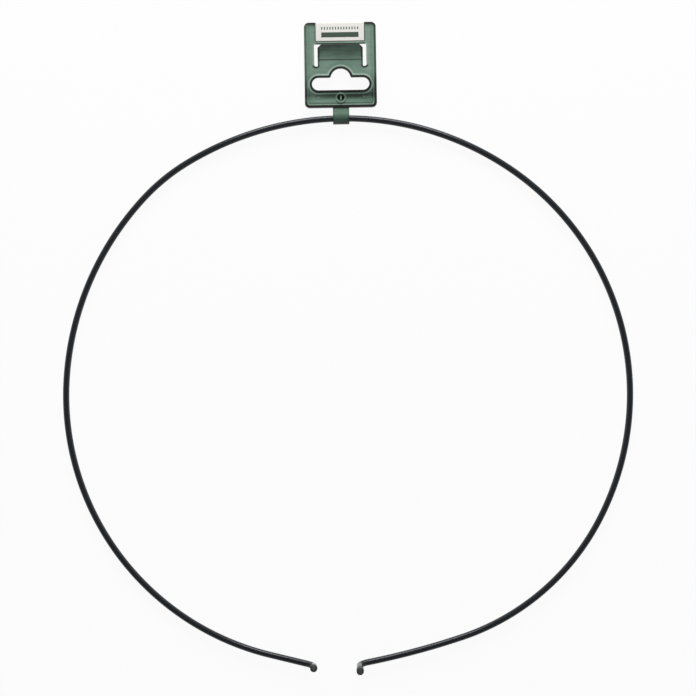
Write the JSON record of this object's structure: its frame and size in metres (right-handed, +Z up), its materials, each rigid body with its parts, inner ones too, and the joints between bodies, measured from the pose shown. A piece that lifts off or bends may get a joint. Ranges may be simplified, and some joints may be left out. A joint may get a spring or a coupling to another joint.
{
  "type": "plant support ring",
  "caption": "Open ring of plastic coated wire that holds plant stems, with its ends turned up into capped pegs and a moulded hanging tag that swings on the wire.",
  "frame": {"origin": "centre of the wire ring, at the height of the wire's middle", "axes": "+Z up along the pegs, +Y from the ring's centre towards the hanging tag, +X to the right seen from above with the tag at the far side"},
  "size_m": [0.3302, 0.375, 0.0256],
  "materials": {
    "steel": "drawn hard steel wire",
    "black_pvc": "extruded PVC coat, near black, glossy",
    "green_pp": "moulded translucent dark green polypropylene",
    "paper": "coated white paper label"
  },
  "bodies": {
    "ring": {"wire_core": "steel", "wire_coating": "black_pvc", "end_cap_left": "black_pvc", "end_cap_right": "black_pvc"},
    "tag": {"hang_tag": "green_pp", "label": "paper"},
    "tongue": {"label_tongue": "green_pp"},
    "clasp": {"strap_clasp": "green_pp"}
  },
  "joints": [
    {"name": "tag_swing", "type": "hinge", "parent": "ring", "child": "tag", "pos_m": [-0.00278, 0.16313, 0], "axis": [0.9999, 0.0157, 0], "continuous": true},
    {"name": "tongue_flex", "type": "hinge", "parent": "tag", "child": "tongue", "pos_m": [-0.00327, 0.19415, 0.00007], "axis": [0.9999, 0.0157, 0], "range_deg": [-20, 25], "stiffness_Nm_per_rad": 0.02},
    {"name": "clasp_open", "type": "hinge", "parent": "tag", "child": "clasp", "pos_m": [-0.00273, 0.15969, 0.00031], "axis": [-0.9999, -0.0157, 0], "range_deg": [0, 120]}
  ]
}
